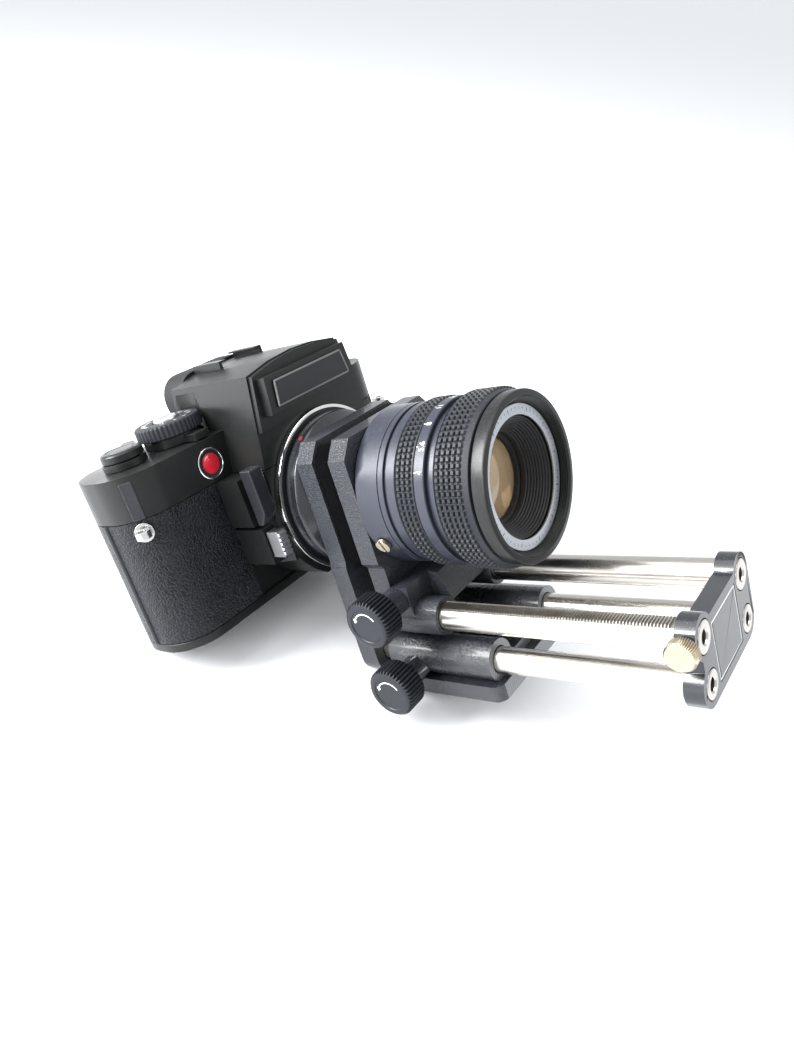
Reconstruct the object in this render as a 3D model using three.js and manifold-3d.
// A 35 mm single-lens reflex camera on a macro bellows with a focusing rail and a bellows lens.
// Millimetres, +Z up, the lens looks along -Y. The origin is the middle of the tripod face under the rail.
// Every assembly below is drawn about the optical axis at the camera's lens flange, and one group
// carries them all to their place above the tripod face.
import * as THREE from 'three';
import { mergeVertices } from 'three/addons/utils/BufferGeometryUtils.js';
import Module from 'manifold-3d';

// ---------------------------------------------------------------- driving sizes

const CLEAR = 0.3; // gap between neighbouring pieces

// Rail
const ROD_SPREAD = 36.6; // between the left and right rods
const UPPER_ROD_RADIUS = 5.1;
const LOWER_ROD_RADIUS = 4.7;
const GRIP_TO_UPPER_ROD = 13.5; // rod centre below the widest lens ring
const ROD_LEVELS = 16.1; // between the upper and lower rods
const TRIPOD_FACE_DROP = 12.4; // tripod face below the lower rods
const ROD_LENGTH = 127;
const END_PLATE_THICKNESS = 6.1;
const END_PLATE_LOBE = 7.2;
const UPPER_SLEEVE_RADIUS = 6.95;
const LOWER_SLEEVE_RADIUS = 7.5;
const CARRIAGE_LENGTH = 46.8;
const CARRIAGE_THICKNESS = 6;
const RACK_PITCH = 1.05;
const RACK_DEPTH = 0.5;
const RACK_FLAT = 0.4; // planed off the rod before the rack is cut
const PINION_TEETH = 24;

// Bellows
const STANDARD_HALF_WIDTH = 26.7;
const STANDARD_HALF_HEIGHT = 25.6;
const CORNER_ACROSS = 5.3; // octagon corner, sideways
const CORNER_UP = 6.2; // octagon corner, upwards
const REAR_STANDARD_Y = -9.7; // rear face of the rear standard
const STANDARD_THICKNESS = 7.6;
const BELLOWS_CLOSED = 7.6; // gap between the standards
const BELLOWS_PLEATS = 5;
const LIGHT_PATH_RADIUS = 20;

// Knobs
const KNOB_RADIUS = 9.3;
const KNOB_LENGTH = 9.5;
const KNOB_REACH = 15.2; // back of a knob outside its rod centre
const KNOB_Y = -33.7;
const PINION_ABOVE_ROD = 9.1;
const LOCK_BELOW_ROD = 2.5;

// Lens
const BARREL_RADIUS = 28;
const GRIP_RADIUS = 30;
const CORE_RADIUS = 25.2;
const LENS_FRONT_Y = -84.5;

// Camera
const BODY_LENGTH = 139.2;
const BODY_DEPTH = 35.9;
const BODY_NEAR_X = -75; // shutter end of the body
const BODY_FRONT_Y = 20.2;
const BODY_BASE_Z = -31.6;
const BODY_TOP_Z = 35.3;
const TOP_PLATE_HEIGHT = 15.6;
const BASE_PLATE_HEIGHT = 3.4;
const BODY_END_RADIUS = 15.6;
const WALL = 1.4;
const LEATHER = 0.8;
const PRISM_TOP_Z = 54.8;
const PRISM_WALL = 3.2; // of the hump, which carries the accessory shoe
const MOUNT_RADIUS = 31.5;
const THROAT_RADIUS = 22;

// ---------------------------------------------------------------- places worked out from them

const ROD_X = ROD_SPREAD / 2;
const UPPER_Z = -(GRIP_RADIUS + GRIP_TO_UPPER_ROD);
const LOWER_Z = UPPER_Z - ROD_LEVELS;
const TRIPOD_Z = LOWER_Z - TRIPOD_FACE_DROP;
const FRONT_STANDARD_Y = REAR_STANDARD_Y - STANDARD_THICKNESS - BELLOWS_CLOSED;
const ROD_REAR_Y = REAR_STANDARD_Y - 1;
const ROD_FRONT_Y = ROD_REAR_Y - ROD_LENGTH - 0.4;
const END_PLATE_Y = ROD_FRONT_Y + 0.3;
const CARRIAGE_REAR_Y = REAR_STANDARD_Y - STANDARD_THICKNESS - 4.7;
const CARRIAGE_FRONT_Y = CARRIAGE_REAR_Y - CARRIAGE_LENGTH;
const FLANGE_TO_ORIGIN = -(CARRIAGE_REAR_Y + CARRIAGE_FRONT_Y) / 2;
const PINION_Z = UPPER_Z + PINION_ABOVE_ROD;
const LOCK_Z = LOWER_Z - LOCK_BELOW_ROD;
const KNOB_BACK_X = -(ROD_X + KNOB_REACH);
const BODY_FAR_X = BODY_NEAR_X + BODY_LENGTH;
const BODY_BACK_Y = BODY_FRONT_Y + BODY_DEPTH;
const BODY_MIDDLE_Y = (BODY_FRONT_Y + BODY_BACK_Y) / 2;
const TOP_PLATE_Z = BODY_TOP_Z - TOP_PLATE_HEIGHT;
const BASE_PLATE_TOP_Z = BODY_BASE_Z + BASE_PLATE_HEIGHT;

// ---------------------------------------------------------------- finishes

const finish = (color, roughness, metalness = 0) => new THREE.MeshStandardMaterial(
  { color, roughness, metalness, flatShading: true });

const BLACK_PAINT = finish(0x2b2f36, 0.5);
const WRINKLE_PAINT = finish(0x30353d, 0.65);
const SATIN_BLACK = finish(0x262b33, 0.4);
const BLACK_PLASTIC = finish(0x1d2025, 0.55);
const LEATHER_BLACK = finish(0x191b1f, 0.8);
const BELLOWS_CLOTH = finish(0x111317, 0.85);
const RUBBER = finish(0x15161a, 0.9);
const CHROME = finish(0xd8dadd, 0.15, 1);
const STEEL = finish(0xb9bbb9, 0.28, 1);
const ALUMINIUM = finish(0xc9cbce, 0.35, 1);
const BRASS = finish(0xc9b27c, 0.35, 1);
const SILVER_RING = finish(0xc8ccd2, 0.4, 0.6);
const RED_ENAMEL = finish(0xc9182b, 0.3);
const GLASS = finish(0xd0b27a, 0.05);
const MIRROR = finish(0xdfe3e8, 0.03, 1);

// ---------------------------------------------------------------- solids

const wasm = await Module();
wasm.setup();

/** Six times the volume that a closed indexed mesh encloses; negative when its faces point in. */
function signedVolume(positions, index) {
  const corners = [new THREE.Vector3(), new THREE.Vector3(), new THREE.Vector3()];
  let sum = 0;
  for (let i = 0; i < index.length; i += 3) {
    corners.forEach((corner, k) => corner.fromArray(positions, 3 * index[i + k]));
    sum += corners[0].dot(corners[1].clone().cross(corners[2]));
  }
  return sum;
}

/** A manifold solid from a closed three.js geometry, with its faces pointing out. */
function solid(geometry) {
  const bare = geometry.clone();
  bare.deleteAttribute('normal');
  bare.deleteAttribute('uv');
  const merged = mergeVertices(bare, 1e-4);
  const positions = merged.attributes.position.array;
  let triangles = Array.from(merged.index.array);
  if (signedVolume(positions, triangles) < 0) triangles = triangles.reverse();
  return new wasm.Manifold(new wasm.Mesh({
    numProp: 3,
    vertProperties: Float32Array.from(positions),
    triVerts: Uint32Array.from(triangles),
  }));
}

const join = (first, ...others) => others.reduce((sum, other) => sum.add(other), first);
const cut = (first, ...others) => others.reduce((rest, other) => rest.subtract(other), first);

/** Moves a geometry drawn in its own axes so that they lie along the three given directions. */
function aligned(geometry, xAxis, yAxis, zAxis) {
  const basis = new THREE.Matrix4().makeBasis(
    new THREE.Vector3(...xAxis), new THREE.Vector3(...yAxis), new THREE.Vector3(...zAxis));
  return geometry.applyMatrix4(basis);
}

/** A box between two values on each axis. */
function block([x0, x1], [y0, y1], [z0, z1]) {
  const geometry = new THREE.BoxGeometry(x1 - x0, y1 - y0, z1 - z0);
  return solid(geometry.translate((x0 + x1) / 2, (y0 + y1) / 2, (z0 + z1) / 2));
}

/** A cylinder or cone along an axis; `across` holds its place on the other two axes in x, y, z order. */
function cylinder(axis, radius, from, to, across = [0, 0], segments = 20, endRadius = radius) {
  const length = to - from;
  const geometry = new THREE.CylinderGeometry(endRadius, radius, length, segments);
  const middle = (from + to) / 2;
  if (axis === 'x') {
    aligned(geometry, [0, 1, 0], [1, 0, 0], [0, 0, -1]);
    geometry.translate(middle, across[0], across[1]);
  } else if (axis === 'y') {
    geometry.translate(across[0], middle, across[1]);
  } else {
    aligned(geometry, [1, 0, 0], [0, 0, 1], [0, -1, 0]);
    geometry.translate(across[0], across[1], middle);
  }
  return solid(geometry);
}

/** A ring turned about the Y axis from [radius, y] corners that close on themselves. */
function turned(corners, segments = 32) {
  const profile = [...corners, corners[0]].map(([radius, y]) => new THREE.Vector2(radius, y));
  return solid(new THREE.LatheGeometry(profile, segments));
}

/** A solid turned about the Y axis from [radius, y] corners, the first and last on the axis. */
function turnedSolid(corners, segments = 24) {
  const profile = corners.map(([radius, y]) => new THREE.Vector2(radius, y));
  return solid(new THREE.LatheGeometry(profile, segments));
}

/** A washer shape about the Y axis. */
const ring = (inner, outer, from, to, segments = 32) =>
  turned([[inner, from], [outer, from], [outer, to], [inner, to]], segments);

const EXTRUDE = { bevelEnabled: false, curveSegments: 4 };

/** An x, y outline raised from one height to another. */
function raised(shape, from, to) {
  const geometry = new THREE.ExtrudeGeometry(shape, { ...EXTRUDE, depth: to - from });
  return solid(geometry.translate(0, 0, from));
}

/** An x, z outline pushed along Y from one value to another. */
function pushed(shape, from, to) {
  const geometry = new THREE.ExtrudeGeometry(shape, { ...EXTRUDE, depth: to - from });
  return solid(aligned(geometry, [1, 0, 0], [0, 0, 1], [0, -1, 0]).translate(0, to, 0));
}

/** A y, z outline pushed along X from one value to another. */
function pushedSideways(shape, from, to) {
  const geometry = new THREE.ExtrudeGeometry(shape, { ...EXTRUDE, depth: to - from });
  return solid(aligned(geometry, [0, 1, 0], [0, 0, 1], [1, 0, 0]).translate(from, 0, 0));
}

const outline = (corners) => new THREE.Shape(corners.map(([a, b]) => new THREE.Vector2(a, b)));

/** A rectangle with a radius on each corner, drawn counter-clockwise from the lower left. */
function roundedRectangle([a0, a1], [b0, b1], radius) {
  const shape = new THREE.Shape();
  const quarter = Math.PI / 2;
  shape.moveTo(a0 + radius, b0);
  shape.absarc(a1 - radius, b0 + radius, radius, -quarter, 0);
  shape.absarc(a1 - radius, b1 - radius, radius, 0, quarter);
  shape.absarc(a0 + radius, b1 - radius, radius, quarter, 2 * quarter);
  shape.absarc(a0 + radius, b0 + radius, radius, 2 * quarter, 3 * quarter);
  return shape;
}

/** The outline of a fluted knob. */
function flutedOutline(radius, flutes, depth) {
  const corners = [];
  for (let i = 0; i < 2 * flutes; i += 1) {
    const angle = (Math.PI * i) / flutes;
    const reach = i % 2 ? radius : radius - depth;
    corners.push([reach * Math.cos(angle), reach * Math.sin(angle)]);
  }
  return outline(corners);
}

/** A named mesh in a group, at a place of its own. */
function add(group, name, shape, material, position = [0, 0, 0]) {
  const made = shape.getMesh();
  const geometry = new THREE.BufferGeometry();
  geometry.setAttribute('position', new THREE.BufferAttribute(made.vertProperties, made.numProp));
  geometry.setIndex(new THREE.BufferAttribute(made.triVerts, 1));
  geometry.computeVertexNormals();
  const mesh = new THREE.Mesh(geometry, material);
  mesh.name = name;
  mesh.position.set(...position);
  group.add(mesh);
  return mesh;
}

// ---------------------------------------------------------------- rail

const SIDES = [-1, 1];

/** The two ends of a stretch along X, measured outward from the middle on one side, in rising order. */
const outward = (side, from, to) => (side > 0 ? [from, to] : [-to, -from]);

/** A fluted knob facing -X or +X, with its back at x = 0 and its stud running inward. */
function knobWithStud(side, studRadius, studLength) {
  const grip = pushedSideways(flutedOutline(KNOB_RADIUS, 20, 0.6), ...outward(side, 0, KNOB_LENGTH));
  const stud = cylinder('x', studRadius, ...outward(side, -studLength, 1), [0, 0], 12);
  return join(grip, stud);
}

/** The base block with the two long sleeves, the tripod threads and the clamp boss. */
function carriageBlock() {
  const halfWidth = ROD_X + LOWER_SLEEVE_RADIUS + 0.6;
  const blockTop = TRIPOD_Z + CARRIAGE_THICKNESS;
  const foot = raised(
    roundedRectangle([-halfWidth, halfWidth], [CARRIAGE_FRONT_Y, CARRIAGE_REAR_Y], 4), TRIPOD_Z, blockTop);
  const rib = block([-9, 9], [CARRIAGE_FRONT_Y + 4, CARRIAGE_REAR_Y - 2], [blockTop - 1, blockTop + 4]);
  const sleeveFrontY = CARRIAGE_FRONT_Y + 2.7;
  const collarFrontY = CARRIAGE_REAR_Y - 4.7;
  const sleeves = SIDES.flatMap((side) => [
    cylinder('y', LOWER_SLEEVE_RADIUS, sleeveFrontY, collarFrontY, [side * ROD_X, LOWER_Z]),
    cylinder('y', LOWER_SLEEVE_RADIUS - 1, collarFrontY - 1, CARRIAGE_REAR_Y + 0.6, [side * ROD_X, LOWER_Z]),
    block([side * ROD_X - 3, side * ROD_X + 3], [sleeveFrontY + 4, collarFrontY], [blockTop - 1, LOWER_Z]),
  ]);
  const bores = SIDES.map((side) => cylinder('y', LOWER_ROD_RADIUS + CLEAR, CARRIAGE_FRONT_Y - 1,
    CARRIAGE_REAR_Y + 2, [side * ROD_X, LOWER_Z]));
  const clampBoss = cylinder('x', 5, KNOB_BACK_X + CLEAR, -ROD_X - LOWER_ROD_RADIUS - 1, [KNOB_Y, LOCK_Z], 20);
  const clampBore = cylinder('x', 2.3, KNOB_BACK_X - 1, -ROD_X - LOWER_ROD_RADIUS + 1, [KNOB_Y, LOCK_Z], 12);
  const threads = [[4.6, 9], [3.1, -9]].map(([radius, offset]) => cylinder('z', radius, TRIPOD_Z - 1,
    blockTop + 1, [0, offset - FLANGE_TO_ORIGIN], 20));
  return cut(join(foot, rib, ...sleeves, clampBoss), ...bores, clampBore, ...threads);
}

function buildCarriage() {
  const carriage = new THREE.Group();
  add(carriage, 'carriage_block', carriageBlock(), SATIN_BLACK);
  const studLength = KNOB_REACH - LOWER_ROD_RADIUS - 0.6;
  add(carriage, 'lower_lock_knob', knobWithStud(-1, 2, studLength), BLACK_PLASTIC,
    [KNOB_BACK_X, KNOB_Y, LOCK_Z]);
  return carriage;
}

/** A rod along Y with a threaded hole in its front end. */
function rod(radius) {
  const bar = cylinder('y', radius, 0, ROD_LENGTH);
  const hole = cylinder('y', 2.2, -1, 8, [0, 0], 12);
  return cut(bar, hole);
}

/** The same rod with a rack cut along its top. */
function rackRod() {
  const top = UPPER_ROD_RADIUS - RACK_FLAT;
  const rackStart = END_PLATE_THICKNESS + 2;
  const rackEnd = FRONT_STANDARD_Y - STANDARD_THICKNESS - ROD_FRONT_Y + 8;
  const teeth = Math.floor((rackEnd - rackStart) / RACK_PITCH);
  const corners = [];
  for (let i = 0; i < teeth; i += 1) {
    const y = rackStart + i * RACK_PITCH;
    corners.push([y, top - RACK_DEPTH], [y + RACK_PITCH / 2, top]);
  }
  corners.push([rackStart + teeth * RACK_PITCH, top - RACK_DEPTH]);
  corners.push([rackStart + teeth * RACK_PITCH, top + 1], [rackStart, top + 1]);
  const waste = pushedSideways(outline(corners), -UPPER_ROD_RADIUS, UPPER_ROD_RADIUS);
  return cut(rod(UPPER_ROD_RADIUS), waste);
}

/** The lobed plate that ties the four rods together at the front. */
function frontEndPlate() {
  const back = END_PLATE_Y + END_PLATE_THICKNESS;
  const lobes = SIDES.flatMap((side) => [UPPER_Z, LOWER_Z].map(
    (z) => cylinder('y', END_PLATE_LOBE, END_PLATE_Y, back, [side * ROD_X, z])));
  const web = block([-(ROD_X + 3.6), ROD_X + END_PLATE_LOBE], [END_PLATE_Y, back],
    [LOWER_Z - 2, UPPER_Z - 2]);
  const middle = block([-ROD_X, ROD_X], [END_PLATE_Y, back], [LOWER_Z - END_PLATE_LOBE, UPPER_Z + 3.6]);
  const bores = SIDES.flatMap((side) => [
    cylinder('y', UPPER_ROD_RADIUS + CLEAR, END_PLATE_Y - 1, back + 1, [side * ROD_X, UPPER_Z]),
    cylinder('y', LOWER_ROD_RADIUS + CLEAR, END_PLATE_Y - 1, back + 1, [side * ROD_X, LOWER_Z]),
  ]);
  const recess = pushed(labelOutline(0), END_PLATE_Y - 1, END_PLATE_Y + 0.7);
  const screwHole = cylinder('x', 2.3, -ROD_X - END_PLATE_LOBE - 1, -ROD_X - UPPER_ROD_RADIUS + 1,
    [END_PLATE_Y + END_PLATE_THICKNESS / 2, UPPER_Z], 12);
  return cut(join(middle, web, ...lobes), ...bores, recess, screwHole);
}

/** The slanted outline of the label let into the front end plate, drawn in by a margin. */
function labelOutline(margin) {
  const left = -ROD_X + UPPER_ROD_RADIUS + 1.6 + margin;
  const right = ROD_X - UPPER_ROD_RADIUS - 1.6 - margin;
  const low = LOWER_Z - 4 + margin;
  const high = UPPER_Z + 0.6 - margin;
  return outline([[left, low], [right, low], [right, high], [left, high]]);
}

/** The coin-edged thumbscrew whose stud bears on the near upper rod. */
function thumbscrew() {
  const head = pushedSideways(flutedOutline(4.9, 20, 0.3), -4.4, 0);
  const stud = cylinder('x', 2, -1, END_PLATE_LOBE - UPPER_ROD_RADIUS + 0.3, [0, 0], 12);
  return join(head, stud);
}

/** The octagon of a bellows standard, grown or shrunk by a margin. */
function octagon(margin = 0) {
  const w = STANDARD_HALF_WIDTH + margin;
  const h = STANDARD_HALF_HEIGHT + margin;
  const cornerX = w - CORNER_ACROSS;
  const cornerZ = h - CORNER_UP;
  return outline([[-w, -cornerZ], [-cornerX, -h], [cornerX, -h], [w, -cornerZ],
    [w, cornerZ], [cornerX, h], [-cornerX, h], [-w, cornerZ]]);
}

/** The rear octagonal frame, whose foot holds the rear ends of the four rods. */
function rearStandard() {
  const front = REAR_STANDARD_Y - STANDARD_THICKNESS;
  const halfFoot = ROD_X + 9.2;
  const frame = pushed(octagon(), front, REAR_STANDARD_Y);
  const foot = pushed(roundedRectangle([-halfFoot, halfFoot], [LOWER_Z - 7.4, -15], 7), front, REAR_STANDARD_Y);
  const lightPath = cylinder('y', LIGHT_PATH_RADIUS, front - 1, REAR_STANDARD_Y + 1, [0, 0], 32);
  const window = block([-10, 10], [front - 1, REAR_STANDARD_Y + 1],
    [UPPER_Z - 2, -STANDARD_HALF_HEIGHT - 3]);
  const rodSeats = SIDES.flatMap((side) => [
    cylinder('y', UPPER_ROD_RADIUS + CLEAR, front - 1, ROD_REAR_Y + CLEAR, [side * ROD_X, UPPER_Z]),
    cylinder('y', LOWER_ROD_RADIUS + CLEAR, front - 1, ROD_REAR_Y + CLEAR, [side * ROD_X, LOWER_Z]),
  ]);
  return cut(join(frame, foot), lightPath, window, ...rodSeats);
}

/** The round-to-octagon adapter between the rear standard and the camera's lens mount. */
function rearAdapter() {
  const flange = ring(LIGHT_PATH_RADIUS, MOUNT_RADIUS - 2.6, -6, -CLEAR);
  const neck = turned([[LIGHT_PATH_RADIUS, REAR_STANDARD_Y + CLEAR], [STANDARD_HALF_HEIGHT - 1.4,
    REAR_STANDARD_Y + CLEAR], [MOUNT_RADIUS - 2.6, -5], [LIGHT_PATH_RADIUS, -5]]);
  const spigot = ring(LIGHT_PATH_RADIUS - 1.6, THROAT_RADIUS - CLEAR - 0.6, -3, 4);
  return cut(join(flange, neck, spigot), cylinder('y', LIGHT_PATH_RADIUS - 0.8, -12, 6, [0, 0], 32));
}

/** The closed bellows: octagonal pleats stacked between the two standards. */
function bellows() {
  const rear = REAR_STANDARD_Y - STANDARD_THICKNESS - CLEAR;
  const length = BELLOWS_CLOSED - 2 * CLEAR;
  const step = length / BELLOWS_PLEATS;
  const core = pushed(octagon(-2.4), rear - length, rear);
  const pleats = [];
  for (let i = 0; i < BELLOWS_PLEATS; i += 1) {
    const back = rear - i * step;
    pleats.push(pushed(octagon(-0.9), back - 0.62 * step, back));
  }
  const path = cylinder('y', LIGHT_PATH_RADIUS, rear - length - 1, rear + 1, [0, 0], 32);
  return cut(join(core, ...pleats), path);
}

function buildRailFrame() {
  const rail = new THREE.Group();
  add(rail, 'upper_near_rod', rackRod(), STEEL, [-ROD_X, ROD_FRONT_Y, UPPER_Z]);
  add(rail, 'upper_far_rod', rod(UPPER_ROD_RADIUS), STEEL, [ROD_X, ROD_FRONT_Y, UPPER_Z]);
  add(rail, 'lower_near_rod', rod(LOWER_ROD_RADIUS), STEEL, [-ROD_X, ROD_FRONT_Y, LOWER_Z]);
  add(rail, 'lower_far_rod', rod(LOWER_ROD_RADIUS), STEEL, [ROD_X, ROD_FRONT_Y, LOWER_Z]);
  add(rail, 'front_end_plate', frontEndPlate(), BLACK_PAINT);
  const label = pushed(labelOutline(CLEAR), END_PLATE_Y + 0.05, END_PLATE_Y + 0.4);
  add(rail, 'end_plate_label', label, ALUMINIUM);
  add(rail, 'end_plate_thumbscrew', thumbscrew(), BRASS,
    [-ROD_X - END_PLATE_LOBE - CLEAR, END_PLATE_Y + END_PLATE_THICKNESS / 2, UPPER_Z]);
  add(rail, 'rear_standard', rearStandard(), WRINKLE_PAINT);
  add(rail, 'rear_adapter_ring', rearAdapter(), SATIN_BLACK);
  add(rail, 'bellows', bellows(), BELLOWS_CLOTH);
  return rail;
}

// ---------------------------------------------------------------- front standard

/** The front octagonal frame with its block and the two sleeves that run on the upper rods. */
function frontStandard() {
  const rear = FRONT_STANDARD_Y;
  const front = rear - STANDARD_THICKNESS;
  const blockFront = front - 7;
  const blockLow = UPPER_Z + 2.5;
  const blockTop = -GRIP_RADIUS + 0.5;
  const halfBlock = ROD_X + 6.2;
  const frame = pushed(octagon(), front, rear);
  const root = block([-halfBlock, halfBlock], [front, rear], [blockLow, -21]);
  const body = block([-halfBlock, halfBlock], [blockFront, rear], [blockLow, blockTop]);
  const nose = pushedSideways(outline([[blockFront + 1, blockLow], [blockFront + 1, blockTop],
    [blockFront - 4, blockTop - 1], [blockFront - 8, blockLow]]), -11, 11);
  const sleeveFront = front - 16.2;
  const sleeves = SIDES.map((side) => cylinder('y', UPPER_SLEEVE_RADIUS, sleeveFront, rear,
    [side * ROD_X, UPPER_Z]));
  const bores = SIDES.map((side) => cylinder('y', UPPER_ROD_RADIUS + CLEAR, sleeveFront - 1, rear + 1,
    [side * ROD_X, UPPER_Z]));
  const bosses = SIDES.map((side) => cylinder('x', 5,
    ...outward(side, ROD_X + 4, -KNOB_BACK_X - CLEAR), [KNOB_Y, PINION_Z], 20));
  const shaftBore = cylinder('x', 2, -ROD_X, -KNOB_BACK_X + 1, [KNOB_Y, PINION_Z], 12);
  const screwBore = cylinder('x', 2.3, KNOB_BACK_X - 1, -ROD_X - 6.6, [KNOB_Y, PINION_Z], 12);
  const pinionRoom = block([-ROD_X - 3.6, -ROD_X + 3.6], [KNOB_Y - 4.6, KNOB_Y + 4.6],
    [UPPER_Z, PINION_Z + 4.6]);
  const lightPath = cylinder('y', LIGHT_PATH_RADIUS, front - 1, rear + 1, [0, 0], 32);
  return cut(join(frame, root, body, nose, ...sleeves, ...bosses), ...bores, lightPath, shaftBore,
    screwBore, pinionRoom);
}

/** The focus knob on the far side, its shaft, and the pinion that runs along the rack. */
function focusKnob() {
  const knob = knobWithStud(1, 1.7, KNOB_REACH + ROD_SPREAD - 2);
  const pinionRadius = PINION_ABOVE_ROD - UPPER_ROD_RADIUS + RACK_FLAT - CLEAR;
  const near = -(KNOB_REACH + ROD_SPREAD);
  const pinion = pushedSideways(flutedOutline(pinionRadius, PINION_TEETH, RACK_DEPTH), near - 3, near + 3);
  return join(knob, pinion);
}

function buildFrontStandard() {
  const standard = new THREE.Group();
  add(standard, 'front_standard', frontStandard(), WRINKLE_PAINT);
  add(standard, 'upper_lock_knob', knobWithStud(-1, 2, KNOB_REACH - 7), BLACK_PLASTIC,
    [KNOB_BACK_X, KNOB_Y, PINION_Z]);
  add(standard, 'focus_knob', focusKnob(), BLACK_PLASTIC, [-KNOB_BACK_X, KNOB_Y, PINION_Z]);
  standard.add(buildLens());
  return standard;
}

// ---------------------------------------------------------------- lens

const BARREL_REAR_Y = FRONT_STANDARD_Y - STANDARD_THICKNESS - CLEAR;
const BARREL_GROOVE_Y = -45.2;
const BARREL_STEP_Y = -50.2; // where the wide part of the barrel ends
const APERTURE_RING_Y = -58; // front faces of the three rings
const SCALE_RING_Y = -66.1;
const PRESET_RING_Y = -79.2;
const RIM_REAR_Y = -79.7;
const CORE_WALL = 3;
const FRONT_GLASS_Y = -67.4;
const FRONT_GLASS_RADIUS = 14.3;
const IRIS_Y = -58.2;
const REAR_CELL_Y = -50;
const REAR_GLASS_RADIUS = 13.3;

/** The lens barrel: a wide rear part and the core that the rings turn on. */
function lensBarrel() {
  const grooveFront = BARREL_GROOVE_Y - 1.4;
  const grooveRadius = BARREL_RADIUS - 0.9;
  const bore = CORE_RADIUS - CORE_WALL;
  return turned([[bore, BARREL_REAR_Y], [BARREL_RADIUS, BARREL_REAR_Y],
    [BARREL_RADIUS, BARREL_GROOVE_Y], [grooveRadius, BARREL_GROOVE_Y], [grooveRadius, grooveFront],
    [BARREL_RADIUS, grooveFront], [BARREL_RADIUS, BARREL_STEP_Y], [CORE_RADIUS, BARREL_STEP_Y],
    [CORE_RADIUS, PRESET_RING_Y], [bore, PRESET_RING_Y]]);
}

/** The slotted screw that locates the lens; its head stands on the barrel, facing -X. */
function locatingScrew() {
  const head = cylinder('x', 2.8, -1.4, 0, [0, 0], 16);
  const slot = block([-2, -0.8], [-0.4, 0.4], [-3, 3]);
  return cut(head, slot);
}

/** The front rim, screwed into the core, that carries the filter thread. */
function frontRim() {
  const neckOuter = CORE_RADIUS - CORE_WALL - CLEAR;
  const neckInner = neckOuter - 1.3;
  const neckRear = PRESET_RING_Y + 2.4;
  const rimOuter = BARREL_RADIUS + 0.3;
  return turned([[neckOuter, neckRear], [neckOuter, RIM_REAR_Y], [CORE_RADIUS + 2, RIM_REAR_Y],
    [rimOuter, RIM_REAR_Y - 0.7], [rimOuter, LENS_FRONT_Y + 0.8], [rimOuter - 0.8, LENS_FRONT_Y],
    [rimOuter - 2.3, LENS_FRONT_Y], [CORE_RADIUS - 0.6, RIM_REAR_Y - 0.8],
    [neckInner, RIM_REAR_Y - 0.8], [neckInner, neckRear]]);
}

/** A convex glass disc between two heights, thicker in the middle. */
function element(radius, rear, front, bulge) {
  const steps = 2;
  const corners = [];
  for (let i = 0; i <= steps; i += 1) {
    const r = (radius * i) / steps;
    corners.push([r, rear + bulge * (1 - (i / steps) ** 2)]);
  }
  for (let i = steps; i >= 0; i -= 1) {
    const r = (radius * i) / steps;
    corners.push([r, front - bulge * (1 - (i / steps) ** 2)]);
  }
  return turnedSolid(corners);
}

/** The ribbed cone between the silver ring and the front element. */
function ribbedBaffle() {
  const ribs = 3;
  const ribDepth = 2.6;
  const rear = FRONT_GLASS_Y - 3.6;
  const front = RIM_REAR_Y - CLEAR;
  const outer = CORE_RADIUS - 5.2;
  const inner = FRONT_GLASS_RADIUS + 1.1;
  const corners = [[outer, rear], [outer, front]];
  for (let i = 0; i < ribs; i += 1) {
    const radius = outer - ((i + 1) * (outer - inner)) / ribs;
    corners.push([radius, front + ribDepth * i]);
    if (i < ribs - 1) corners.push([radius, front + ribDepth * (i + 1)]);
  }
  corners.push([inner, rear]);
  return turned(corners, 24);
}

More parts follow.
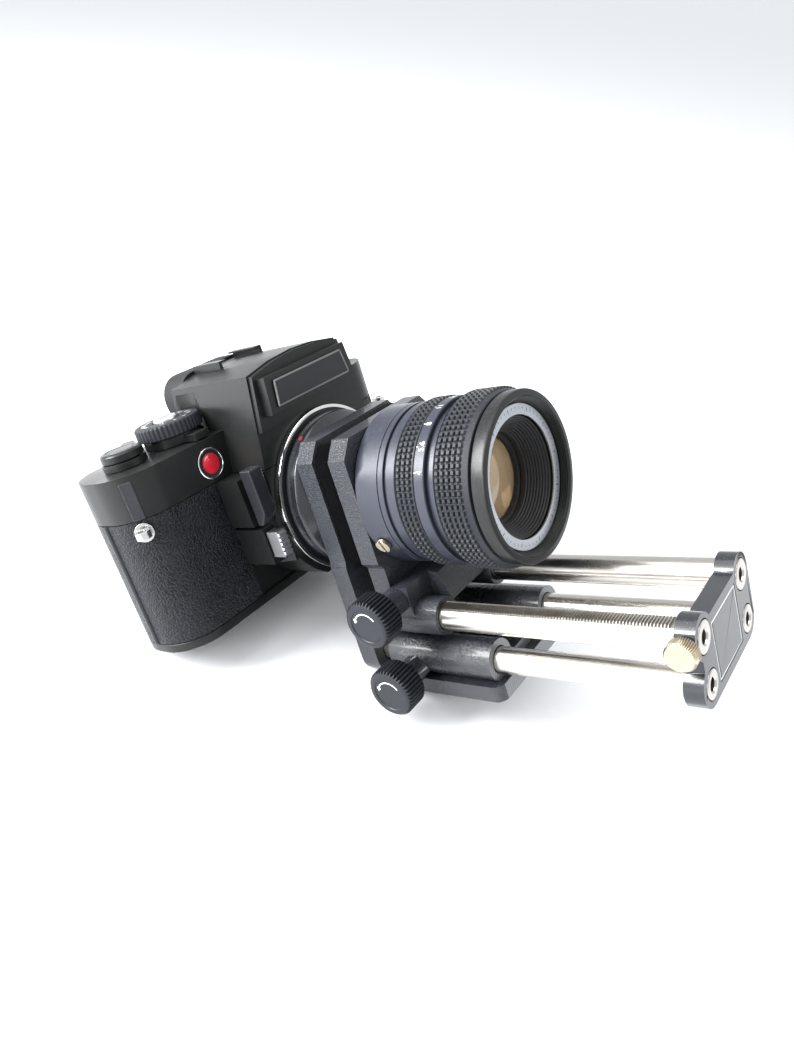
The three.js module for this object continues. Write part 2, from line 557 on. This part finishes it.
function buildLens() {
  const lens = new THREE.Group();
  const inner = CORE_RADIUS + CLEAR;
  add(lens, 'lens_barrel', lensBarrel(), SATIN_BLACK);
  const screwAngle = THREE.MathUtils.degToRad(24); // below level, on the shutter end side
  const screwReach = BARREL_RADIUS + CLEAR;
  const screw = add(lens, 'locating_screw', locatingScrew(), BRASS,
    [-screwReach * Math.cos(screwAngle), BARREL_REAR_Y - 4.8, -screwReach * Math.sin(screwAngle)]);
  screw.rotation.y = -screwAngle;
  const knurled = (radius, count, from, to) => cut(pushed(flutedOutline(radius, count, 0.7), from, to),
    cylinder('y', inner, from - 1, to + 1, [0, 0], 32));
  add(lens, 'aperture_ring', knurled(BARREL_RADIUS + 1.2, 30, APERTURE_RING_Y, BARREL_STEP_Y - CLEAR),
    BLACK_PAINT);
  const scaleRear = APERTURE_RING_Y - CLEAR;
  const bandFront = scaleRear - 4.1;
  const bandRadius = BARREL_RADIUS + 0.6;
  const scaleRing = turned([[inner, SCALE_RING_Y], [bandRadius - 1.6, SCALE_RING_Y],
    [bandRadius - 1.6, bandFront], [bandRadius, bandFront], [bandRadius, scaleRear], [inner, scaleRear]]);
  add(lens, 'scale_ring', scaleRing, BLACK_PAINT);
  add(lens, 'preset_ring', knurled(GRIP_RADIUS, 30, PRESET_RING_Y, SCALE_RING_Y - CLEAR), BLACK_PAINT);
  add(lens, 'front_rim', frontRim(), BLACK_PAINT);
  const silver = ring(CORE_RADIUS - 5, CORE_RADIUS - 1.4, RIM_REAR_Y - 1.7, RIM_REAR_Y - 1.1);
  add(lens, 'silver_ring', silver, SILVER_RING);
  add(lens, 'ribbed_baffle', ribbedBaffle(), BLACK_PLASTIC);
  const cellInner = FRONT_GLASS_RADIUS + CLEAR;
  const cellOuter = CORE_RADIUS - CORE_WALL - CLEAR;
  const cellNeck = cellOuter - 1.7;
  const cellRear = IRIS_Y - 1.8;
  const cellFront = FRONT_GLASS_Y - 3.2;
  const cell = turned([[cellInner, cellRear], [cellOuter, cellRear], [cellOuter, cellRear - 4],
    [cellNeck, cellRear - 4], [cellNeck, cellFront], [cellInner, cellFront]]);
  add(lens, 'front_lens_cell', cell, BLACK_PAINT);
  add(lens, 'front_element', element(FRONT_GLASS_RADIUS, FRONT_GLASS_Y, FRONT_GLASS_Y - 1.6, 2), GLASS);
  const bladeCount = 6;
  add(lens, 'iris', ring(8.5, cellOuter, IRIS_Y, IRIS_Y + 0.6, bladeCount), BLACK_PLASTIC);
  const rearCell = ring(REAR_GLASS_RADIUS + CLEAR, cellOuter, REAR_CELL_Y, REAR_CELL_Y + 6);
  add(lens, 'rear_lens_cell', rearCell, BLACK_PAINT);
  const rearGlassY = REAR_CELL_Y + 3.6;
  add(lens, 'rear_element', element(REAR_GLASS_RADIUS, rearGlassY, rearGlassY - 1.2, 1.6), GLASS);
  return lens;
}

// ---------------------------------------------------------------- camera

const MIRROR_BOX_HALF = 31;
const MIRROR_BOX_FLARE = 6;
const MIRROR_BOX_FRONT_Y = 2.4;
const MIRROR_BOX_LOW_Z = -16;
const MIRROR_PIVOT = [34, 16]; // y, z
const MIRROR_LENGTH = 26;
const DOOR_SPLIT_Y = BODY_FRONT_Y + 19.5;
const DOOR_THICKNESS = 3;
const HINGE_RADIUS = 1.3;
const PLATE_GAP = 1.6; // from the door to the film plane
const FILM_PLANE_Y = BODY_BACK_Y - DOOR_THICKNESS - PLATE_GAP;
const FILM_GATE_HALF = [18.5, 12.5];
const SPOOL_X = BODY_NEAR_X + 17;
const SPROCKET_X = BODY_NEAR_X + 37;
const SPROCKET_Y = BODY_MIDDLE_Y + 5;
const CASSETTE_X = BODY_FAR_X - 18;
const LOW_Z = BASE_PLATE_TOP_Z + CLEAR;
const HIGH_Z = TOP_PLATE_Z - CLEAR;
const DIAL_X = BODY_NEAR_X + 38.6;
const ADVANCE_X = BODY_NEAR_X + 16.2;
const CONTROLS_Z = BODY_TOP_Z + CLEAR;
const CRANK_PIVOT = 5.2; // from the rewind axis to the crank's hinge
const CRANK_LENGTH = 9.8; // short enough to turn past the hump when open
const HUMP_HALF_LOW = 30.5;
const HUMP_HALF_HIGH = 24.2;
const HUMP_BACK_Y = BODY_BACK_Y - 10.6;
const HUMP_SHOULDER_Z = PRISM_TOP_Z - 2.8;
const HUMP_FACE_Y = 0.4;
const EYECUP_HALF = 20.5;
const EYECUP_DEPTH = 11.5;
const SHOE_HALF = 11.5;
const SHOE_FRONT_Y = 29;
const MOUNT_COLLAR = MOUNT_RADIUS + 2;
const LEVER_OUTER = MOUNT_COLLAR + 6;
const LEVER_TOP_Z = 23;

/** The round-ended plan of the camera body, drawn in by a margin. */
const bodyPlan = (margin = 0) => roundedRectangle([BODY_NEAR_X + margin, BODY_FAR_X - margin],
  [BODY_FRONT_Y + margin, BODY_BACK_Y - margin], BODY_END_RADIUS - margin);

/** The plan of the mirror box, which widens toward the body. */
function mirrorBoxPlan(margin = 0) {
  const half = MIRROR_BOX_HALF + margin;
  const root = half + MIRROR_BOX_FLARE;
  return outline([[-half, MIRROR_BOX_FRONT_Y - margin], [half, MIRROR_BOX_FRONT_Y - margin],
    [root, BODY_FRONT_Y + 3], [-root, BODY_FRONT_Y + 3]]);
}

/** Everything behind the line where the back door parts from the body. */
const behindSplit = (y = DOOR_SPLIT_Y) => block([BODY_NEAR_X - 9, BODY_FAR_X + 9], [y, BODY_BACK_Y + 9],
  [BODY_BASE_Z - 9, PRISM_TOP_Z]);

/** The room that the hinge rod takes out of the pieces beside it. */
const hingeRoom = () => cylinder('z', HINGE_RADIUS + CLEAR, LOW_Z - 1, HIGH_Z + 1,
  [BODY_NEAR_X + 0.6, DOOR_SPLIT_Y], 16);

/** The die-cast chassis: body with mirror box, film chambers and film gate, open at the top. */
function chassis() {
  const inset = LEATHER + CLEAR;
  const core = raised(bodyPlan(inset), LOW_Z, HIGH_Z);
  const box = raised(mirrorBoxPlan(), MIRROR_BOX_LOW_Z, HIGH_Z);
  const collar = cut(cylinder('y', MOUNT_COLLAR, MIRROR_BOX_FRONT_Y, BODY_FRONT_Y, [0, 0], 32),
    block([-50, 50], [0, BODY_BACK_Y], [HIGH_Z, PRISM_TOP_Z]),
    block([-50, 50], [0, BODY_BACK_Y], [BODY_BASE_Z - 9, LOW_Z]));
  const sliderSeat = block([-MOUNT_COLLAR - 5.2, -MIRROR_BOX_HALF + 2], [5.2, BODY_FRONT_Y], [-14, 0]);
  const leverSeat = block([-LEVER_OUTER, -MIRROR_BOX_HALF + 2], [8.2, BODY_FRONT_Y + 2], [1.5, HIGH_Z]);
  const doorRoom = cut(raised(bodyPlan(-1), LOW_Z - 1, HIGH_Z + 1),
    raised(bodyPlan(DOOR_THICKNESS + 2 * CLEAR), LOW_Z - 2, HIGH_Z + 2),
    block([BODY_NEAR_X - 9, BODY_FAR_X + 9], [0, DOOR_SPLIT_Y - CLEAR], [LOW_Z - 3, HIGH_Z + 3]));
  const throat = cylinder('y', THROAT_RADIUS, MIRROR_BOX_FRONT_Y - 1, 20, [0, 0], 32);
  const mirrorRoom = block([-THROAT_RADIUS, THROAT_RADIUS], [MIRROR_BOX_FRONT_Y + 4, 42], [-18, HIGH_Z + 1]);
  const gate = block([-FILM_GATE_HALF[0], FILM_GATE_HALF[0]], [40, BODY_BACK_Y + 1],
    [-FILM_GATE_HALF[1], FILM_GATE_HALF[1]]);
  const chambers = [[SPOOL_X, 11.2], [CASSETTE_X, 12.5]].flatMap(([x, radius]) => [
    cylinder('z', radius, LOW_Z + 3, HIGH_Z + 1, [x, BODY_MIDDLE_Y], 24),
    block([x - radius + 1, x + radius - 1], [BODY_MIDDLE_Y, BODY_BACK_Y], [LOW_Z + 3, HIGH_Z + 1]),
  ]);
  const sprocketRoom = cylinder('z', 7.2, LOW_Z + 3, HIGH_Z + 1, [SPROCKET_X, SPROCKET_Y], 16);
  return cut(join(core, box, collar, sliderSeat, leverSeat), doorRoom, throat, mirrorRoom, gate, ...chambers,
    sprocketRoom, behindSplit(FILM_PLANE_Y), hingeRoom());
}

/** The leather covering on one side of the mirror box, wrapped round that end of the body. */
function leather(side) {
  const skin = cut(raised(bodyPlan(), LOW_Z, HIGH_Z), raised(bodyPlan(LEATHER), LOW_Z - 1, HIGH_Z + 1));
  const boxEdge = MIRROR_BOX_HALF + MIRROR_BOX_FLARE;
  const otherSide = side < 0
    ? block([-boxEdge - 0.6, BODY_FAR_X + 9], [0, BODY_BACK_Y + 9], [LOW_Z - 1, HIGH_Z + 1])
    : block([BODY_NEAR_X - 9, boxEdge + 0.6], [0, BODY_BACK_Y + 9], [LOW_Z - 1, HIGH_Z + 1]);
  const leverRoom = block([-LEVER_OUTER - CLEAR, 0], [0, BODY_BACK_Y], [1.5 - CLEAR, HIGH_Z + 1]);
  return cut(skin, behindSplit(DOOR_SPLIT_Y - CLEAR), otherSide, hingeRoom(), leverRoom);
}

/** The back door, which wraps both ends of the body behind the split. */
function backDoor() {
  const shell = cut(raised(bodyPlan(), LOW_Z, HIGH_Z), raised(bodyPlan(DOOR_THICKNESS), LOW_Z - 1, HIGH_Z + 1));
  const front = block([BODY_NEAR_X - 9, BODY_FAR_X + 9], [0, DOOR_SPLIT_Y], [LOW_Z - 1, HIGH_Z + 1]);
  return cut(shell, front, hingeRoom());
}

/** The outline across the top plate's prism hump, drawn in by a margin, from a given height up. */
function humpOutline(margin, low) {
  const shape = new THREE.Shape();
  const slope = (HUMP_HALF_LOW - HUMP_HALF_HIGH) / (HUMP_SHOULDER_Z - TOP_PLATE_Z);
  const halfLow = HUMP_HALF_LOW - margin - slope * (low - TOP_PLATE_Z);
  const halfHigh = HUMP_HALF_HIGH - margin;
  const shoulder = HUMP_SHOULDER_Z - margin;
  const top = 2 * (PRISM_TOP_Z - margin) - shoulder;
  shape.moveTo(-halfLow, low);
  shape.lineTo(halfLow, low);
  shape.lineTo(halfHigh, shoulder);
  shape.quadraticCurveTo(0, top, -halfHigh, shoulder);
  return shape;
}

/** The top plate with its prism hump, hollow from below. */
function topPlate() {
  const deck = raised(bodyPlan(), TOP_PLATE_Z, BODY_TOP_Z);
  const hump = pushed(humpOutline(0, TOP_PLATE_Z), MIRROR_BOX_FRONT_Y, HUMP_BACK_Y);
  const face = pushed(humpOutline(0.6, MOUNT_RADIUS + 0.8), HUMP_FACE_Y, MIRROR_BOX_FRONT_Y + 1);
  const surround = pushed(outline([[-23.5, 37], [23.5, 37], [22, 50], [-22, 50]]), -3.4, HUMP_FACE_Y + 1);
  const hollow = raised(bodyPlan(WALL), TOP_PLATE_Z - 1, BODY_TOP_Z - WALL);
  const humpHollow = pushed(humpOutline(PRISM_WALL, TOP_PLATE_Z - 1), MIRROR_BOX_FRONT_Y + WALL,
    HUMP_BACK_Y - WALL);
  const shoeSeat = block([-SHOE_HALF - CLEAR, SHOE_HALF + CLEAR], [SHOE_FRONT_Y - CLEAR, HUMP_BACK_Y + 1],
    [PRISM_TOP_Z - PRISM_WALL / 2, PRISM_TOP_Z + 1]);
  const dialRoom = cylinder('z', 13, BODY_TOP_Z, PRISM_TOP_Z - 5, [DIAL_X, BODY_MIDDLE_Y], 32);
  const rewindHole = cylinder('z', 2.3, TOP_PLATE_Z, BODY_TOP_Z + 1, [CASSETTE_X, BODY_MIDDLE_Y], 12);
  const eyepiece = block([-9, 9], [HUMP_BACK_Y - 3, HUMP_BACK_Y + 1], [39, 49]);
  const throat = cylinder('y', THROAT_RADIUS, MIRROR_BOX_FRONT_Y - 1, BODY_FRONT_Y - 4, [0, 0], 32);
  return cut(join(deck, hump, face, surround), hollow, humpHollow, shoeSeat, dialRoom, rewindHole,
    eyepiece, throat);
}

function cameraBase() {
  const plate = raised(bodyPlan(), BODY_BASE_Z, BASE_PLATE_TOP_Z);
  return cut(plate, cylinder('z', 3.2, BODY_BASE_Z - 1, BASE_PLATE_TOP_Z + 1, [0, BODY_MIDDLE_Y], 16));
}

/** A knurled disc about Z with a bore. */
const knurledDisc = (radius, bore, flutes, depth, from, to) => cut(
  raised(flutedOutline(radius, flutes, depth), from, to), cylinder('z', bore, from - 1, to + 1, [0, 0], 20));

/** The advance lever: a hub with an arm that ends in a thumb rest. */
function advanceLever() {
  const reach = 20.5;
  const hub = cylinder('z', 7.9, 0, 2.4, [0, 0], 28);
  const arm = raised(outline([[0, -6], [reach - 4, -4], [reach, -1], [reach, 3], [reach - 6, 3.5], [0, 6]]), 0, 2.4);
  const rest = raised(outline([[reach - 7, -3], [reach, -1], [reach, 3], [reach - 7, 3.4]]), 0, 4.6);
  return join(hub, arm, rest);
}

/** The mode lever: a ring under the speed dial with a ribbed tab toward the front. */
function modeLever() {
  const tab = block([-3, 3], [-16.8, -9], [0, 2.8]);
  return cut(join(cylinder('z', 10.8, 0, 3.4, [0, 0], 28), tab), cylinder('z', 6, -1, 5, [0, 0], 20));
}

/** The rewind knob on its shaft, with the fork that turns the cassette. */
function rewindKnob() {
  const grip = raised(flutedOutline(8.6, 20, 0.5), 3.4, 8.6);
  const shaft = cylinder('z', 1.9, -27, 4, [0, 0], 12);
  const fork = block([-3.6, 3.6], [-0.8, 0.8], [-30, -26]);
  return join(grip, shaft, fork);
}

/** The folding crank on the rewind knob, with a small grip at its free end. */
function rewindCrank() {
  const grip = cylinder('z', 2.2, 0, 4.4, [-CRANK_LENGTH, 0], 14);
  const arm = block([-CRANK_LENGTH, 0], [-2, 2], [0, 1.2]);
  return join(arm, grip);
}

/** The accessory shoe: a floor with two lipped rails. */
function accessoryShoe() {
  const depth = HUMP_BACK_Y - SHOE_FRONT_Y - 0.6;
  const floor = block([-SHOE_HALF, SHOE_HALF], [0, depth], [0, 0.8]);
  const rails = SIDES.flatMap((side) => [
    block(outward(side, SHOE_HALF - 1.4, SHOE_HALF), [0, depth], [0, 3.4]),
    block(outward(side, SHOE_HALF - 3.8, SHOE_HALF), [0, depth], [2.7, 3.4]),
  ]);
  return join(floor, ...rails);
}

/** A strap lug: a base disc with an eyelet, facing +X. */
function strapLug() {
  const base = cylinder('x', 3.4, 0, 1, [0, 0], 18);
  const eyelet = cylinder('z', 2.7, -1.3, 1.3, [3, 0], 18);
  return cut(join(base, eyelet), cylinder('z', 1.4, -2, 2, [3.3, 0], 12));
}

/** The eyecup round the viewfinder eyepiece. */
function eyecup() {
  const low = BODY_TOP_Z + 0.8;
  const high = PRISM_TOP_Z + 0.6;
  const front = HUMP_BACK_Y + CLEAR;
  const back = front + EYECUP_DEPTH;
  const half = EYECUP_HALF;
  const outside = pushed(roundedRectangle([-half, half], [low, high], 9), front, back);
  const window = pushed(roundedRectangle([-11, 11], [low + 3, high - 6], 4), front - 1, back + 1);
  const dish = pushed(roundedRectangle([2.4 - half, half - 2.4], [low + 2.4, high - 2.4], 7), front + 3, back + 1);
  return cut(outside, window, dish);
}

/** The ribbed slider that frees the lens mount. */
function releaseSlider() {
  const ribs = [-3.6, -1.8, 0, 1.8, 3.6].map((z) => block([-1.9, 1.9], [-3.5, -2], [z - 0.5, z + 0.5]));
  return join(block([-2.1, 2.1], [-2.8, 2.6], [-4.9, 4.9]), ...ribs);
}

/** The reflex mirror, hung from its pivot and leaning at 45 degrees. */
function reflexMirror() {
  return cut(block([-17, 17], [-MIRROR_LENGTH, 0], [-0.6, 0.6]), block([-20, -15], [-3, 1], [-2, 2]));
}

/** The pentaprism, as a prism of its side view. */
function pentaprism() {
  const floor = TOP_PLATE_Z + 1;
  return pushedSideways(outline([[9, floor], [37, floor], [41, floor + 9], [36, floor + 25],
    [24, floor + 28], [9, floor + 14]]), -14, 14);
}

/** Controls on top of the body. */
function addControls(camera) {
  const lever = add(camera, 'advance_lever', advanceLever(), BLACK_PAINT,
    [ADVANCE_X, BODY_MIDDLE_Y, CONTROLS_Z]);
  lever.rotation.z = THREE.MathUtils.degToRad(45);
  add(camera, 'advance_cap', cylinder('z', 7.6, 2.7, 6, [0, 0], 28), BLACK_PAINT,
    [ADVANCE_X, BODY_MIDDLE_Y, CONTROLS_Z]);
  const dialPlace = [DIAL_X, BODY_MIDDLE_Y, CONTROLS_Z];
  add(camera, 'mode_lever', modeLever(), BLACK_PAINT, dialPlace);
  add(camera, 'speed_dial', knurledDisc(12.4, 5.2, 30, 0.5, 3.7, 8.7), BLACK_PAINT, dialPlace);
  add(camera, 'shutter_button', cylinder('z', 4.7, 2.4, 9.8, [0, 0], 20), CHROME, dialPlace);
  const rewindPlace = [CASSETTE_X, BODY_MIDDLE_Y, CONTROLS_Z];
  add(camera, 'film_speed_ring', knurledDisc(12.6, 2.3, 28, 0.4, 0, 3), BLACK_PAINT, rewindPlace);
  add(camera, 'rewind_knob', rewindKnob(), BLACK_PAINT, rewindPlace);
  add(camera, 'rewind_crank', rewindCrank(), STEEL, [CASSETTE_X + CRANK_PIVOT, BODY_MIDDLE_Y, CONTROLS_Z + 8.9]);
}

/** Fixed trim and the controls on the front, back and ends. */
function addFittings(camera) {
  const mountRing = ring(24, MOUNT_RADIUS, 0, MIRROR_BOX_FRONT_Y - CLEAR);
  add(camera, 'lens_mount_ring', mountRing, CHROME);
  add(camera, 'accessory_shoe', accessoryShoe(), BLACK_PAINT,
    [0, SHOE_FRONT_Y, PRISM_TOP_Z - PRISM_WALL / 2 + CLEAR]);
  add(camera, 'eyecup', eyecup(), RUBBER);
  const plate = outline([[-20.1, 38.8], [20.1, 38.8], [18.6, 48.2], [-18.6, 48.2]]);
  add(camera, 'front_nameplate', pushed(plate, -4.3, -3.7), BLACK_PLASTIC);
  add(camera, 'badge_disc', cylinder('y', 5.7, -0.7, 0, [0, 0], 28), RED_ENAMEL,
    [BODY_NEAR_X + 36.6, BODY_FRONT_Y - CLEAR, TOP_PLATE_Z + 7]);
  SIDES.forEach((side) => {
    const corner = BODY_END_RADIUS * (1 - Math.SQRT1_2) - CLEAR * Math.SQRT1_2;
    const x = side < 0 ? BODY_NEAR_X + corner : BODY_FAR_X - corner;
    const lug = add(camera, side < 0 ? 'near_strap_lug' : 'far_strap_lug', strapLug(), CHROME,
      [x, BODY_FRONT_Y + corner, HIGH_Z - 4]);
    lug.rotation.z = THREE.MathUtils.degToRad(side < 0 ? -135 : -45);
  });
  add(camera, 'release_slider', releaseSlider(), CHROME, [-MOUNT_COLLAR - 2.7, 1.8, -6]);
  const lever = block([-LEVER_OUTER, -MOUNT_COLLAR - CLEAR], [0, 5.4], [2, LEVER_TOP_Z]);
  const lowBevel = pushedSideways(outline([[-1, 1], [4, 1], [-1, 8]]), -60, 0);
  add(camera, 'depth_of_field_lever', cut(lever, lowBevel), BLACK_PLASTIC);
}

/** What the body holds inside. */
function addInternals(camera) {
  const mirror = add(camera, 'reflex_mirror', reflexMirror(), MIRROR, [0, ...MIRROR_PIVOT]);
  mirror.rotation.x = THREE.MathUtils.degToRad(45);
  add(camera, 'focusing_screen', block([-18, 18], [10, 33], [HIGH_Z - 1.3, HIGH_Z]), GLASS);
  add(camera, 'pentaprism', pentaprism(), GLASS);
  const curtain = block([-FILM_GATE_HALF[0] + CLEAR, FILM_GATE_HALF[0] - CLEAR], [44, 45.2],
    [-FILM_GATE_HALF[1] + CLEAR, FILM_GATE_HALF[1] - CLEAR]);
  add(camera, 'shutter_curtain', curtain, BLACK_PLASTIC);
  add(camera, 'take_up_spool', cylinder('z', 7.2, LOW_Z + 4, HIGH_Z - 1, [0, 0], 20), BLACK_PLASTIC,
    [SPOOL_X, BODY_MIDDLE_Y, 0]);
  const sprocket = raised(flutedOutline(5.9, 8, 0.9), LOW_Z + 5, HIGH_Z - 2);
  add(camera, 'film_sprocket', sprocket, BLACK_PLASTIC, [SPROCKET_X, SPROCKET_Y, 0]);
  const plateBack = BODY_BACK_Y - DOOR_THICKNESS - CLEAR;
  add(camera, 'pressure_plate', block([-24, 24], [FILM_PLANE_Y + CLEAR, plateBack], [-15, 15]), STEEL);
}

function buildCamera() {
  const camera = new THREE.Group();
  add(camera, 'chassis', chassis(), BLACK_PAINT);
  add(camera, 'leather_near', leather(-1), LEATHER_BLACK);
  add(camera, 'leather_far', leather(1), LEATHER_BLACK);
  add(camera, 'back_door', backDoor(), LEATHER_BLACK);
  add(camera, 'hinge_rod', cylinder('z', HINGE_RADIUS, LOW_Z, HIGH_Z, [0, 0], 16), BLACK_PAINT,
    [BODY_NEAR_X + 0.6, DOOR_SPLIT_Y, 0]);
  add(camera, 'camera_base', cameraBase(), BLACK_PAINT);
  add(camera, 'top_plate', topPlate(), BLACK_PAINT);
  addControls(camera);
  addFittings(camera);
  addInternals(camera);
  return camera;
}

// ---------------------------------------------------------------- the whole object

const object = new THREE.Group();
const optical = new THREE.Group();
optical.position.set(0, FLANGE_TO_ORIGIN, -TRIPOD_Z);
optical.add(buildCarriage(), buildRailFrame(), buildFrontStandard(), buildCamera());
object.add(optical);

export default object;
